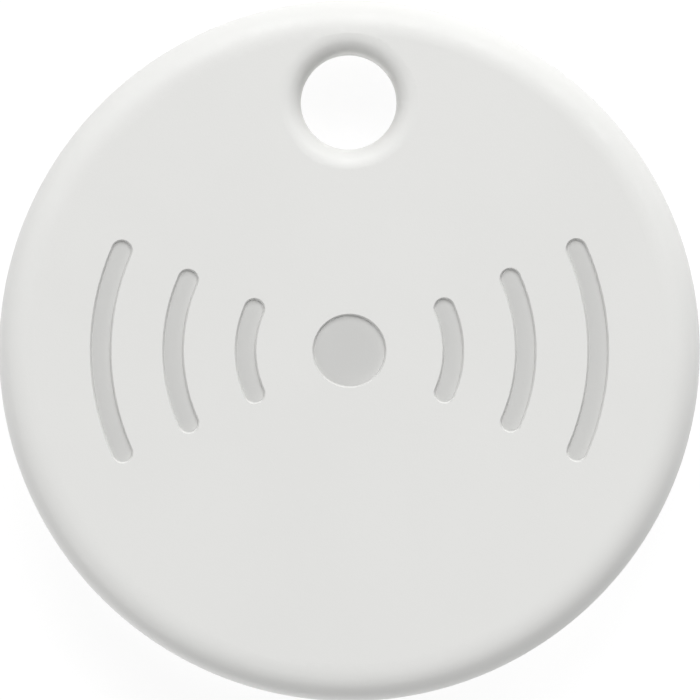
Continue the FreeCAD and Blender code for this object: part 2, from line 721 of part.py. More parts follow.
INDUCTOR_AT = (13.0, -122.0)
CORE_SIDE = 3.0
CORE_LOW = BOARD_TOP + 0.08
CORE_FOOT_TOP = BOARD_TOP + 0.4
CORE_HEAD_LOW = BOARD_TOP + 1.15
CORE_TOP = BOARD_TOP + 1.5
CORE_HEAD_R = 1.45
CORE_NECK_R = 0.75
WINDING_R = 1.2
WINDING_RIB_R = 1.26
WINDING_TURNS = 6
CORE_FEET_X = 1.05
CORE_FEET_WIDE = 0.8
CORE_FEET_LONG = 2.6


def inductor_core():
    """A drum of ferrite: a square foot, a round neck and a round head."""
    foot = block(0, 0, CORE_LOW, CORE_FOOT_TOP, CORE_SIDE, CORE_SIDE)
    neck = disc(0, 0, CORE_FOOT_TOP - OVERLAP, CORE_HEAD_LOW + OVERLAP, CORE_NECK_R)
    head = disc(0, 0, CORE_HEAD_LOW, CORE_TOP, CORE_HEAD_R)
    return at_board(joined([foot, neck, head]), INDUCTOR_AT, INDUCTOR_AT[1])


def inductor_winding():
    """Wound wire as one ribbed bobbin of turns between the foot and the head."""
    wire = (CORE_HEAD_LOW - CORE_FOOT_TOP) / WINDING_TURNS
    outline = Pen(CORE_NECK_R, CORE_FOOT_TOP).line(WINDING_R, CORE_FOOT_TOP)
    for i in range(WINDING_TURNS):
        outline.line(WINDING_RIB_R, CORE_FOOT_TOP + (i + 0.5) * wire)
        outline.line(WINDING_R, CORE_FOOT_TOP + (i + 1) * wire)
    outline.line(CORE_NECK_R, CORE_HEAD_LOW)
    return at_board(outline.spin(), INDUCTOR_AT, 0)


def inductor_feet():
    feet = []
    for side in (-1, 1):
        feet.append(block(side * CORE_FEET_X, 0, BOARD_TOP, CORE_LOW, CORE_FEET_WIDE, CORE_FEET_LONG))
    return at_board(Part.makeCompound(feet), INDUCTOR_AT, INDUCTOR_AT[1] + 90)


DRIVER_AT = (12.95, -145.5)
DRIVER_LOW = BOARD_TOP + 0.1
DRIVER_TOP = BOARD_TOP + 1.05
DRIVER_LONG = 2.9
DRIVER_WIDE = 1.6
DRIVER_BEVEL = 0.12
# a leg's middle line: distance from the package's middle, and height above the board
LEG_SIDE = ((0.81, 0.55), (1.0, 0.55), (1.1, 0.1), (1.4, 0.05))
LEG_THICK = 0.1
LEG_WIDE = 0.35
LEG_PITCH = 0.95


def sounder_driver():
    """A small six-legged package with a bevel round its top."""
    body = block(0, 0, DRIVER_LOW, DRIVER_TOP, DRIVER_LONG, DRIVER_WIDE)
    rim = [edge for edge in body.Edges if not is_upright(edge) and edge.CenterOfMass.z > DRIVER_LOW + OVERLAP]
    return at_board(body.makeChamfer(DRIVER_BEVEL, rim), DRIVER_AT, DRIVER_AT[1] + 90)


def sounder_driver_legs():
    side_line = [(out, BOARD_TOP + height) for out, height in LEG_SIDE]
    legs = []
    for side in (-1, 1):
        for i in (-1, 0, 1):
            leg = ribbon(side_line, LEG_THICK, LEG_WIDE)
            leg.translate(V(0, LEG_PITCH * i, 0))
            leg.rotate(V(), V(0, 0, 1), 90 * side)
            legs.append(leg)
    return at_board(Part.makeCompound(legs), DRIVER_AT, DRIVER_AT[1] + 90)


ANTENNA_AT = (-7.7, 10.3)
ANTENNA_TURN = 36.8
ANTENNA_TEETH = 6
ANTENNA_PITCH = 1.1
ANTENNA_DEEP = 3.2
TRACE_WIDE = 0.4
TRACE_THICK = 0.04


def antenna_trace():
    """A printed meander along the board's edge."""
    top = BOARD_TOP + TRACE_THICK
    bars = []
    for i in range(ANTENNA_TEETH + 1):
        x = (i - ANTENNA_TEETH / 2) * ANTENNA_PITCH
        bars.append(block(x, 0, BOARD_TOP, top, TRACE_WIDE, ANTENNA_DEEP + TRACE_WIDE))
    for i in range(ANTENNA_TEETH):
        x = (i + 0.5 - ANTENNA_TEETH / 2) * ANTENNA_PITCH
        y = ANTENNA_DEEP / 2 * (1 if i % 2 else -1)
        bars.append(block(x, y, BOARD_TOP, top, ANTENNA_PITCH + TRACE_WIDE, TRACE_WIDE))
    trace = joined(bars)
    trace.rotate(V(), V(0, 0, 1), ANTENNA_TURN)
    trace.translate(V(ANTENNA_AT[0], ANTENNA_AT[1], 0))
    return trace


PAD_THICK = 0.03
PAD_R = 0.45
PAD_PITCH = 1.3
PAD_SHEAR = -1.0
PAD_X = 9.1
PAD_Y = 9.6
LONE_PAD_R = 0.35
LONE_PAD_AT = ((13.9, -77.5), (13.9, -112))


def test_pads():
    """Round gold pads: two rows for programming, and two single ones by the switch."""
    top = BOARD_TOP + PAD_THICK
    pads = []
    for i in range(3):
        for j in range(2):
            y = PAD_Y + PAD_PITCH * j + PAD_SHEAR * i
            pads.append(disc(PAD_X + PAD_PITCH * i, y, BOARD_TOP, top, PAD_R))
    for place in LONE_PAD_AT:
        pads.append(disc(*round_cell(*place), BOARD_TOP, top, LONE_PAD_R))
    return Part.makeCompound(pads)


# ---------------------------------------------------------------- tact switch


def at_switch(shape):
    """Puts a shape made round the origin in the switch's place, its long side along the tray."""
    return at_board(shape, (SWITCH_RHO, SWITCH_ANGLE), SWITCH_ANGLE + 90)


def switch_base():
    base = block(0, 0, BOARD_TOP + SWITCH_LIFT, SWITCH_BASE_TOP, SWITCH_BASE_LONG, SWITCH_WIDE)
    return at_switch(base.cut(disc(0, 0, SWITCH_WELL_LOW, SWITCH_BASE_TOP + OVERLAP, SWITCH_WELL_R)))


def switch_lid():
    """A steel plate over the base with a lug folded down at each end."""
    top = SWITCH_BASE_TOP + SWITCH_LID_THICK
    plate = block(0, 0, SWITCH_BASE_TOP, top, SWITCH_LID_LONG, SWITCH_WIDE)
    lug_top = SWITCH_BASE_TOP + SWITCH_LID_THICK / 2
    lugs = []
    for side in (-1, 1):
        lugs.append(block(side * LUG_X, 0, LUG_LOW, lug_top, LUG_THICK, LUG_WIDE))
    lid = plate.fuse(lugs).cut(disc(0, 0, 0, top + OVERLAP, SWITCH_LID_HOLE_R))
    return at_switch(lid.removeSplitter())


def switch_dome():
    """A thin sprung cap in the base's well."""
    rise = DOME_TOP - SWITCH_WELL_LOW
    outer = (DOME_R ** 2 + rise ** 2) / (2 * rise)
    centre = V(0, 0, DOME_TOP - outer)
    cap = Part.makeSphere(outer, centre).cut(Part.makeSphere(outer - DOME_THICK, centre))
    return at_switch(cap.common(disc(0, 0, SWITCH_WELL_LOW, DOME_TOP + OVERLAP, DOME_R)))


def switch_plunger():
    """A round post on a wide flange that the lid holds in."""
    edge_r = PLUNGER_R - PLUNGER_EDGE
    edge_z = PLUNGER_TOP - PLUNGER_EDGE
    outline = Pen(0, DOME_TOP).line(PLUNGER_FLANGE_R, DOME_TOP).line(PLUNGER_FLANGE_R, PLUNGER_FLANGE_TOP)
    outline.line(PLUNGER_R, PLUNGER_FLANGE_TOP).line(PLUNGER_R, edge_z).arc(edge_r, edge_z, 90)
    outline.line(0, PLUNGER_TOP)
    return at_switch(outline.spin())


def switch_terminals():
    """Four tinned feet at the base's long sides."""
    room = block(0, 0, BOARD_TOP + SWITCH_LIFT, SWITCH_BASE_TOP, SWITCH_LONG, SWITCH_WIDE)
    feet = []
    for x in (-TERMINAL_X, TERMINAL_X):
        for side in (-1, 1):
            y = side * (SWITCH_WIDE / 2 + TERMINAL_OUT)
            foot = block(x, y, BOARD_TOP, BOARD_TOP + TERMINAL_THICK, TERMINAL_SIDE, TERMINAL_SIDE)
            feet.append(foot.cut(room))
    return at_switch(Part.makeCompound(feet))


PARTS = {
    "back_cover": back_cover,
    "front_cover": front_cover,
    "perimeter_seal": perimeter_seal,
    "key_hole_seal": key_hole_seal,
    "circuit_board": circuit_board,
    "battery_tray": battery_tray,
    "insulator_ring": insulator_ring,
    "negative_contact": negative_contact,
    "positive_contact": positive_contact,
    "battery_can": battery_can,
    "battery_gasket": battery_gasket,
    "battery_cap": battery_cap,
    "battery_lithium_disc": lithium_disc,
    "battery_separator": cell_separator,
    "battery_cathode_pellet": cathode_pellet,
    "piezo_glue_ring": piezo_glue,
    "piezo_plate": piezo_plate,
    "piezo_ceramic": piezo_ceramic,
    "piezo_silver_film": piezo_silver,
    "sounder_spring_silver": lambda: sounder_spring("silver"),
    "sounder_spring_plate": lambda: sounder_spring("plate"),
    "sounder_driver": sounder_driver,
    "sounder_driver_legs": sounder_driver_legs,
    "inductor_core": inductor_core,
    "inductor_winding": inductor_winding,
    "inductor_feet": inductor_feet,
    "radio_chip": radio_chip,
    "radio_chip_lands": radio_chip_lands,
    "radio_crystal_base": lambda: crystal_base("radio_crystal"),
    "radio_crystal_lid": lambda: crystal_lid("radio_crystal"),
    "clock_crystal_base": lambda: crystal_base("clock_crystal"),
    "clock_crystal_lid": lambda: crystal_lid("clock_crystal"),
    "antenna_trace": antenna_trace,
    "test_pads": test_pads,
    "capacitors": lambda: chip_bodies(CAPACITOR_AT, CAPACITOR_HIGH),
    "capacitor_ends": lambda: chip_ends(CAPACITOR_AT, CAPACITOR_HIGH),
    "resistors": lambda: chip_bodies(RESISTOR_AT, RESISTOR_HIGH),
    "resistor_ends": lambda: chip_ends(RESISTOR_AT, RESISTOR_HIGH),
    "switch_base": switch_base,
    "switch_lid": switch_lid,
    "switch_dome": switch_dome,
    "switch_plunger": switch_plunger,
    "switch_terminals": switch_terminals,
}


def main():
    os.makedirs("parts", exist_ok=True)
    for name, make in PARTS.items():
        shape = make()
        solids = shape.Solids
        if not solids or not shape.isValid():
            raise SystemExit(f"{name} is not a valid solid")
        whole = solids[0] if len(solids) == 1 else Part.makeCompound(solids)
        whole.exportStep(f"parts/{name}.step")
        print(f"{name}: {len(solids)} solid(s), {whole.Volume:.2f} mm3")


main()
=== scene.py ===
"""Looks for the round tracker tag: finishes, the small pieces that only show, light and camera.

Everything is in metres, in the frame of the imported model: the back lies on z = 0, +Z comes out of the
front face and +Y points to the key hole. Sizes are written in millimetres times MM.
"""

import bmesh
import bpy
import json
import math
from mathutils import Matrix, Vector


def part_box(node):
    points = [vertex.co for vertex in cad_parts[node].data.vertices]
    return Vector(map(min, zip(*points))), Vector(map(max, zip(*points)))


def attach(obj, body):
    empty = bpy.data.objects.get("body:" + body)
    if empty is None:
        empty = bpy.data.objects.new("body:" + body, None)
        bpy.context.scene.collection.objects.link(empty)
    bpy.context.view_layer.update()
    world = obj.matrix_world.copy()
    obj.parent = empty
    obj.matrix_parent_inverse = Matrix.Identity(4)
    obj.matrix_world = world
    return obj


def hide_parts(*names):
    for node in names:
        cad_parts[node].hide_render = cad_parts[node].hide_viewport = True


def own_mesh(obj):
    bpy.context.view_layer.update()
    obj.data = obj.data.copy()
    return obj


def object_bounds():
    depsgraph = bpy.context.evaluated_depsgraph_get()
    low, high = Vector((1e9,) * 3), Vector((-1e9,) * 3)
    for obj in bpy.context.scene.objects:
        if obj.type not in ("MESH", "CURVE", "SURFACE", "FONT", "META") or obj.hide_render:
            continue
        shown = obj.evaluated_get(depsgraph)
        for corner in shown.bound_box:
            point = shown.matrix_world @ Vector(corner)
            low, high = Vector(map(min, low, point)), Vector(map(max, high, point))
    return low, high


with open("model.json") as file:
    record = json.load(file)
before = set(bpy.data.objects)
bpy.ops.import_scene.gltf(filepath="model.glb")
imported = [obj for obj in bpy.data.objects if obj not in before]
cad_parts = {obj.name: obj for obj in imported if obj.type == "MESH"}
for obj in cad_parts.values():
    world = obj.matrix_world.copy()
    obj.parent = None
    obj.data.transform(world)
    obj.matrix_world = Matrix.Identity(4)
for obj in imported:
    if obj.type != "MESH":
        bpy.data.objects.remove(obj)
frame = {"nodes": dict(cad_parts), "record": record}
cad_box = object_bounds()
nodes = frame["nodes"]

MM = 0.001
BOARD_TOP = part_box("circuit_board")[1].z
CAN_LOW, CAN_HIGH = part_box("battery_can")
CELL = (CAN_LOW + CAN_HIGH) / 2
UP = Vector((0, 0, 1))
LEVEL_AXES = (Vector((1, 0, 0)), Vector((0, 1, 0)))


def round_cell(rho, degrees):
    """The place on the board at a distance, in millimetres, and a direction from the cell's centre."""
    turn = math.radians(degrees)
    return Vector((CELL.x + rho * MM * math.cos(turn), CELL.y + rho * MM * math.sin(turn), BOARD_TOP))


def circle(count):
    """The cosine and sine of evenly spaced directions, once round."""
    return [(math.cos(a), math.sin(a)) for a in (2 * math.pi * k / count for k in range(count))]


# ---------------------------------------------------------------- finishes


# cosines of how far a small bevel turns the surface: where it counts as a full edge and where as flat
EDGE_TURN = 0.80
FLAT_TURN = 0.98


class Finish:
    """A procedural material, built up on one Principled shader."""

    def __init__(self, name, **sockets):
        self.material = bpy.data.materials.new(name)
        self.material.use_nodes = True
        self.tree = self.material.node_tree
        self.tree.nodes.clear()
        output = self.add("ShaderNodeOutputMaterial")
        self.shader = self.add("ShaderNodeBsdfPrincipled")
        self.tree.links.new(self.shader.outputs["BSDF"], output.inputs["Surface"])
        self.place = self.add("ShaderNodeTexCoord").outputs["Object"]
        for socket, value in sockets.items():
            self.shader.inputs[socket.replace("_", " ")].default_value = value

    def add(self, kind, **settings):
        made = self.tree.nodes.new(kind)
        for key, value in settings.items():
            setattr(made, key, value)
        return made

    def put(self, socket, value):
        """Links an output to a node's socket, or sets the socket to a plain value."""
        if isinstance(value, bpy.types.NodeSocket):
            self.tree.links.new(value, socket)
        elif isinstance(value, tuple) and len(socket.default_value) == 4:
            socket.default_value = (*value, 1.0)
        else:
            socket.default_value = value

    def math(self, operation, a, b=0.0):
        made = self.add("ShaderNodeMath", operation=operation)
        for socket, value in zip(made.inputs, (a, b)):
            self.put(socket, value)
        return made.outputs[0]

    def axes(self, source=None):
        """The three parts of a place or a direction."""
        made = self.add("ShaderNodeSeparateXYZ")
        self.put(made.inputs[0], source or self.place)
        return made.outputs

    def facing(self):
        """How far the surface faces up: 1 up, 0 sideways, -1 down."""
        return self.axes(self.add("ShaderNodeTexCoord").outputs["Normal"])[2]

    def stretched(self, scale):
        """Places drawn out along an axis, so that a texture on them turns into streaks."""
        made = self.add("ShaderNodeMapping")
        self.put(made.inputs["Vector"], self.place)
        made.inputs["Scale"].default_value = scale
        return made.outputs[0]

    def from_axis(self, x, y):
        """Distance from the upright line through x, y."""
        squares = []
        for part, centre in zip(self.axes(), (x, y)):
            squares.append(self.math("POWER", self.math("SUBTRACT", part, centre), 2.0))
        return self.math("SQRT", self.math("ADD", *squares))

    def noise(self, size, detail=2.0, rough=0.5, place=None):
        """Soft noise whose blobs are about as wide as size."""
        made = self.add("ShaderNodeTexNoise")
        self.put(made.inputs["Vector"], place or self.place)
        made.inputs["Scale"].default_value = 1 / size
        made.inputs["Detail"].default_value = detail
        made.inputs["Roughness"].default_value = rough
        return made.outputs["Fac"]

    def pits(self, size):
        """Distance to the nearest of scattered points that lie about size apart."""
        made = self.add("ShaderNodeTexVoronoi")
        self.put(made.inputs["Vector"], self.place)
        made.inputs["Scale"].default_value = 1 / size
        return made.outputs["Distance"]

    def between(self, value, low, high, start=0.0, end=1.0):
        """Maps a value from one range to another, smoothly, and stays inside it."""
        made = self.add("ShaderNodeMapRange", interpolation_type="SMOOTHSTEP")
        for socket, number in zip(made.inputs, (value, low, high, start, end)):
            self.put(socket, number)
        return made.outputs[0]

    def band(self, value, low, high, soft):
        """1 between low and high, 0 outside, with soft borders."""
        return self.math("MULTIPLY", self.between(value, low - soft, low + soft),
                         self.between(value, high - soft, high + soft, 1.0, 0.0))

    def edges(self, radius):
        """1 along sharp edges and 0 on open surfaces."""
        bevel = self.add("ShaderNodeBevel", samples=4)
        bevel.inputs["Radius"].default_value = radius
        dot = self.add("ShaderNodeVectorMath", operation="DOT_PRODUCT")
        self.put(dot.inputs[0], bevel.outputs[0])
        self.put(dot.inputs[1], self.add("ShaderNodeNewGeometry").outputs["Normal"])
        return self.between(dot.outputs["Value"], EDGE_TURN, FLAT_TURN, 1.0, 0.0)

    def mix(self, factor, a, b):
        made = self.add("ShaderNodeMix", data_type="RGBA")
        self.put(made.inputs[0], factor)
        self.put(made.inputs[6], a)
        self.put(made.inputs[7], b)
        return made.outputs[2]

    def colour(self, value):
        self.put(self.shader.inputs["Base Color"], value)
        return self

    def roughness(self, value):
        self.put(self.shader.inputs["Roughness"], value)
        return self

    def bump(self, height, depth, strength):
        """Adds relief: height runs from 0 to 1 and stands for depth metres."""
        made = self.add("ShaderNodeBump")
        made.inputs["Strength"].default_value = strength
        made.inputs["Distance"].default_value = depth
        self.put(made.inputs["Height"], height)
        before = self.shader.inputs["Normal"].links
        if before:
            self.put(made.inputs["Normal"], before[0].from_socket)
        self.put(self.shader.inputs["Normal"], made.outputs[0])
        return self


def shade(colour, factor):
    """A colour made lighter or darker."""
    return tuple(min(1.0, c * factor) for c in colour)


SHELL_WHITE = (0.788, 0.788, 0.772)
SIGN_GREY = 0.755
SIGN_DEPTH = 0.2 * MM
SIGN_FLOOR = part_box("front_cover")[1].z - SIGN_DEPTH
FLOOR_REACH = 0.05 * MM
SIGN_HALF_WIDE = 14.2 * MM
SIGN_HALF_HIGH = 6.2 * MM
SIGN_SOFT = 0.02 * MM


def shell_plastic():
    """Fine spark-eroded texture on off-white plastic, with painted shade along its sharp edges and creases;
    the sunk sign's floor is greyer.
    """
    f = Finish("shell_plastic")
    x, y, z = f.axes()
    in_sign = f.math("MULTIPLY", f.band(x, -SIGN_HALF_WIDE, SIGN_HALF_WIDE, SIGN_SOFT),
                     f.band(y, -SIGN_HALF_HIGH, SIGN_HALF_HIGH, SIGN_SOFT))
    at_floor = f.band(z, SIGN_FLOOR - FLOOR_REACH, SIGN_FLOOR + FLOOR_REACH, SIGN_SOFT)
    sign = f.math("MULTIPLY", at_floor, in_sign)
    clouds = f.noise(9 * MM, detail=3)
    white = f.mix(f.between(clouds, 0.35, 0.65), shade(SHELL_WHITE, 0.993), shade(SHELL_WHITE, 1.005))
    # painted shade: sharp edges and creases made darker
    white = f.mix(f.math("MULTIPLY", f.edges(0.08 * MM), 0.25), white, shade(SHELL_WHITE, 0.93))
    f.colour(f.mix(sign, white, shade(SHELL_WHITE, SIGN_GREY)))
    f.roughness(f.between(f.noise(0.5 * MM, detail=3), 0.3, 0.7, 0.46, 0.58))
    return f.bump(f.noise(0.11 * MM, detail=2, rough=0.6), 0.006 * MM, 0.5).material


def moulded(name, colour, grain=0.12, depth=0.006, rough=0.55, vary=0.08, edge_highlight=0.0, **sockets):
    """Plastic, rubber or epoxy from a mould: a fine even grain, faint clouds and, where asked, a painted
    highlight that lightens its sharp edges.
    """
    f = Finish(name, **sockets)
    clouds = f.between(f.noise(2.2 * MM, detail=3), 0.3, 0.7)
    body = f.mix(clouds, shade(colour, 1 - vary), shade(colour, 1 + vary))
    # painted highlight: sharp edges made lighter
    if edge_highlight:
        body = f.mix(f.math("MULTIPLY", f.edges(0.06 * MM), edge_highlight), body, shade(colour, 3.0))
    f.colour(body)
    f.roughness(f.between(f.noise(0.35 * MM, detail=2), 0.3, 0.7, rough - 0.06, rough + 0.08))
    return f.bump(f.noise(grain * MM, detail=2, rough=0.6), depth * MM, 0.6).material


METAL_VARY = 0.05
SHORTEST_STREAK = 0.05 * MM


def metal(name, colour, rough=0.28, streaks=(1, 1, 1), depth=0.0006, stain=None, **sockets):
    """Rolled, drawn or plated metal: streaks along one axis, a faint stain, and a painted highlight that
    brightens its sharp edges.
    """
    f = Finish(name, Metallic=1.0, **sockets)
    lines = f.noise(SHORTEST_STREAK, detail=3, place=f.stretched(streaks))
    dark, light = shade(colour, 1 - METAL_VARY), shade(colour, 1 + METAL_VARY)
    base = f.mix(f.between(lines, 0.3, 0.7), dark, light)
    patches = f.between(f.noise(1.6 * MM, detail=4, rough=0.6), 0.5, 0.72)
    base = f.mix(f.math("MULTIPLY", patches, 0.25), base, stain or shade(colour, 0.85))
    # painted highlight: sharp edges made brighter
    f.colour(f.mix(f.math("MULTIPLY", f.edges(0.04 * MM), 0.5), base, shade(colour, 1.15)))
    f.roughness(f.math("ADD", f.between(lines, 0.25, 0.75, rough - 0.06, rough + 0.08),
                       f.math("MULTIPLY", patches, 0.08)))
    return f.bump(lines, depth * MM, 0.5).material


def fired(name, colour, grain, depth=0.003, rough=0.5):
    """Fired ceramic or pressed powder: fine grains, a few specks and clouds of tone."""
    f = Finish(name)
    clouds = f.between(f.noise(0.8 * MM, detail=3), 0.3, 0.7)
    body = f.mix(clouds, shade(colour, 0.9), shade(colour, 1.1))
    specks = f.between(f.pits(grain * 3 * MM), 0.10, 0.22, 1.0, 0.0)
    f.colour(f.mix(f.math("MULTIPLY", specks, 0.5), body, shade(colour, 0.7)))
    f.roughness(f.between(f.noise(0.2 * MM, detail=2), 0.3, 0.7, rough - 0.08, rough + 0.08))
    return f.bump(f.noise(grain * MM, detail=3), depth * MM, 0.6).material


MASK_GREEN = (0.010, 0.085, 0.040)
CUT_EDGE_TONES = ((0.42, 0.36, 0.16), (0.60, 0.54, 0.30))
THREAD = 0.22 * MM


def board_laminate():
    """Green solder mask on top and bottom, woven glass and resin at the cut edge."""
    f = Finish("board_laminate", Coat_Weight=0.4, Coat_Roughness=0.18)
    weave = f.math("MULTIPLY", f.noise(THREAD, place=f.stretched((1, 0.12, 1))),
                   f.noise(THREAD, place=f.stretched((0.12, 1, 1))))
    mask = f.mix(f.between(weave, 0.15, 0.4), shade(MASK_GREEN, 0.86), shade(MASK_GREEN, 1.16))
    layers = f.noise(0.06 * MM, detail=2, place=f.stretched((0.05, 0.05, 1)))
    cut = f.mix(layers, *CUT_EDGE_TONES)
    side = f.between(f.math("ABSOLUTE", f.facing()), 0.3, 0.6, 1.0, 0.0)
    f.colour(f.mix(side, mask, cut))
    f.roughness(f.between(side, 0.0, 1.0, 0.36, 0.8))
    return f.bump(weave, 0.004 * MM, 0.5).bump(f.noise(0.5 * MM), 0.002 * MM, 0.4).material


STEEL = (0.70, 0.695, 0.68)
RING_HALF = 0.07
RING_SOFT = 0.05 * MM


def cell_steel(name, tone, ring):
    """Nickel-plated steel, rolled one way, with a faint drawn ring of that radius in millimetres."""
    f = Finish(name, Metallic=1.0)
    colour = shade(STEEL, tone)
    lines = f.noise(SHORTEST_STREAK, detail=3, place=f.stretched((0.03, 1, 1)))
    haze = f.between(f.noise(3.0 * MM, detail=4, rough=0.6), 0.4, 0.7)
    base = f.mix(f.between(lines, 0.3, 0.7), shade(colour, 0.93), shade(colour, 1.06))
    out = f.from_axis(CELL.x, CELL.y)
    drawn = f.band(out, (ring - RING_HALF) * MM, (ring + RING_HALF) * MM, RING_SOFT)
    marks = f.noise(SHORTEST_STREAK, detail=1, place=f.stretched((0.35, 0.008, 1)))
    scratch = f.between(marks, 0.70, 0.76)
    base = f.mix(f.math("MULTIPLY", haze, 0.3), base, shade(colour, 0.86))
    f.colour(f.mix(f.math("MULTIPLY", drawn, 0.4), base, shade(colour, 0.7)))
    f.roughness(f.math("ADD", f.between(lines, 0.25, 0.75, 0.22, 0.36), f.math("MULTIPLY", scratch, 0.2)))
    f.bump(lines, 0.002 * MM, 0.5)
    f.bump(drawn, -0.02 * MM, 0.6)
    return f.bump(scratch, -0.003 * MM, 0.6).material


def turned_metal(name, colour, x, y, pitch, rough):
    """Disc of thin metal with fine rings, pitch millimetres apart, round the axis through x, y."""
    f = Finish(name, Metallic=1.0)
    out = f.from_axis(x, y)
    rings = f.math("SINE", f.math("MULTIPLY", out, 2 * math.pi / (pitch * MM)))
    haze = f.between(f.noise(2.5 * MM, detail=4), 0.35, 0.7)
    base = f.mix(f.between(rings, -1, 1), shade(colour, 0.95), shade(colour, 1.05))
    f.colour(f.mix(f.math("MULTIPLY", haze, 0.3), base, shade(colour, 0.78)))
    f.roughness(f.between(haze, 0, 1, rough - 0.05, rough + 0.1))
    return f.bump(rings, 0.002 * MM, 0.3).bump(f.noise(0.1 * MM), 0.002 * MM, 0.5).material


PIEZO_LOW, PIEZO_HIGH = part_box("piezo_plate")
PIEZO = (PIEZO_LOW + PIEZO_HIGH) / 2
TIN = (0.74, 0.74, 0.73)
GOLD = (0.88, 0.66, 0.30)

FINISHES = {
    "shell_plastic": shell_plastic(),
    "tray_plastic": moulded("tray_plastic", (0.030, 0.031, 0.034), grain=0.1, rough=0.52, vary=0.12,
                            edge_highlight=0.5),
    "silicone": moulded("silicone", (0.50, 0.52, 0.55), grain=0.2, rough=0.42, vary=0.04,
                        Subsurface_Weight=0.3, Subsurface_Scale=0.3 * MM),
    "board_laminate": board_laminate(),
    "insulating_film": moulded("insulating_film", (0.72, 0.34, 0.03), grain=0.6, rough=0.22, vary=0.06,
                               Coat_Weight=0.5),
    "spring_metal": metal("spring_metal", (0.78, 0.75, 0.68), streaks=(0.05, 1, 1)),
    "cell_steel": cell_steel("cell_steel", 1.0, 8.9),
    "cell_cap_steel": cell_steel("cell_cap_steel", 0.92, 8.0),
    "cell_gasket": moulded("cell_gasket", (0.04, 0.04, 0.045), rough=0.4),
    "lithium": metal("lithium", (0.50, 0.50, 0.52), rough=0.5, depth=0.01, stain=(0.25, 0.24, 0.26)),
    "separator_paper": moulded("separator_paper", (0.80, 0.79, 0.75), grain=0.05, depth=0.02,
                               rough=0.85),
    "cathode_mix": fired("cathode_mix", (0.035, 0.034, 0.034), grain=0.08, depth=0.02, rough=0.8),
    "glue": moulded("glue", (0.72, 0.69, 0.60), grain=0.3, rough=0.25, vary=0.05),
    "piezo_brass": turned_metal("piezo_brass", (0.78, 0.56, 0.24), PIEZO.x, PIEZO.y, 0.18, 0.3),
    "piezo_ceramic": fired("piezo_ceramic", (0.50, 0.45, 0.36), grain=0.06),
    "silver_film": turned_metal("silver_film", (0.80, 0.79, 0.77), PIEZO.x, PIEZO.y, 0.31, 0.42),
    "gold_plated_wire": metal("gold_plated_wire", GOLD, rough=0.24, streaks=(1, 1, 0.4)),
    "package_epoxy": moulded("package_epoxy", (0.022, 0.022, 0.024), grain=0.06, rough=0.48, vary=0.15,
                             edge_highlight=0.35),
    "tinned_metal": metal("tinned_metal", TIN, rough=0.26, stain=(0.55, 0.55, 0.55)),
    "ferrite": fired("ferrite", (0.085, 0.085, 0.09), grain=0.07, depth=0.008, rough=0.55),
    "enamelled_copper": metal("enamelled_copper", (0.62, 0.22, 0.07), rough=0.2, streaks=(1, 1, 0.2),
                              Coat_Weight=0.6),
    "crystal_base": fired("crystal_base", (0.16, 0.13, 0.10), grain=0.05, rough=0.45),
    "crystal_lid_metal": metal("crystal_lid_metal", (0.74, 0.70, 0.60), rough=0.3, streaks=(0.1, 1, 1)),
    "gold_pad": metal("gold_pad", GOLD, rough=0.3, stain=(0.70, 0.45, 0.18)),
    "capacitor_ceramic": fired("capacitor_ceramic", (0.42, 0.27, 0.14), grain=0.04, rough=0.4),
    "resistor_body": fired("resistor_body", (0.030, 0.030, 0.034), grain=0.04, rough=0.3),
    "switch_plastic": moulded("switch_plastic", (0.035, 0.035, 0.036), grain=0.08, rough=0.5, edge_highlight=0.4),
    "switch_steel": metal("switch_steel", (0.76, 0.75, 0.72), rough=0.3, streaks=(0.05, 1, 1)),
    "plunger_plastic": moulded("plunger_plastic", (0.74, 0.74, 0.71), grain=0.1, rough=0.42, vary=0.03),
}


def dress_nodes():
    """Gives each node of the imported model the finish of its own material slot."""
    for row in frame["record"]["subparts"]:
        for place in nodes[row["node"]].material_slots:
            place.material = FINISHES[row["material_slot"]]


# ---------------------------------------------------------------- pieces that only show


SHARPEST_MITRE = 0.5


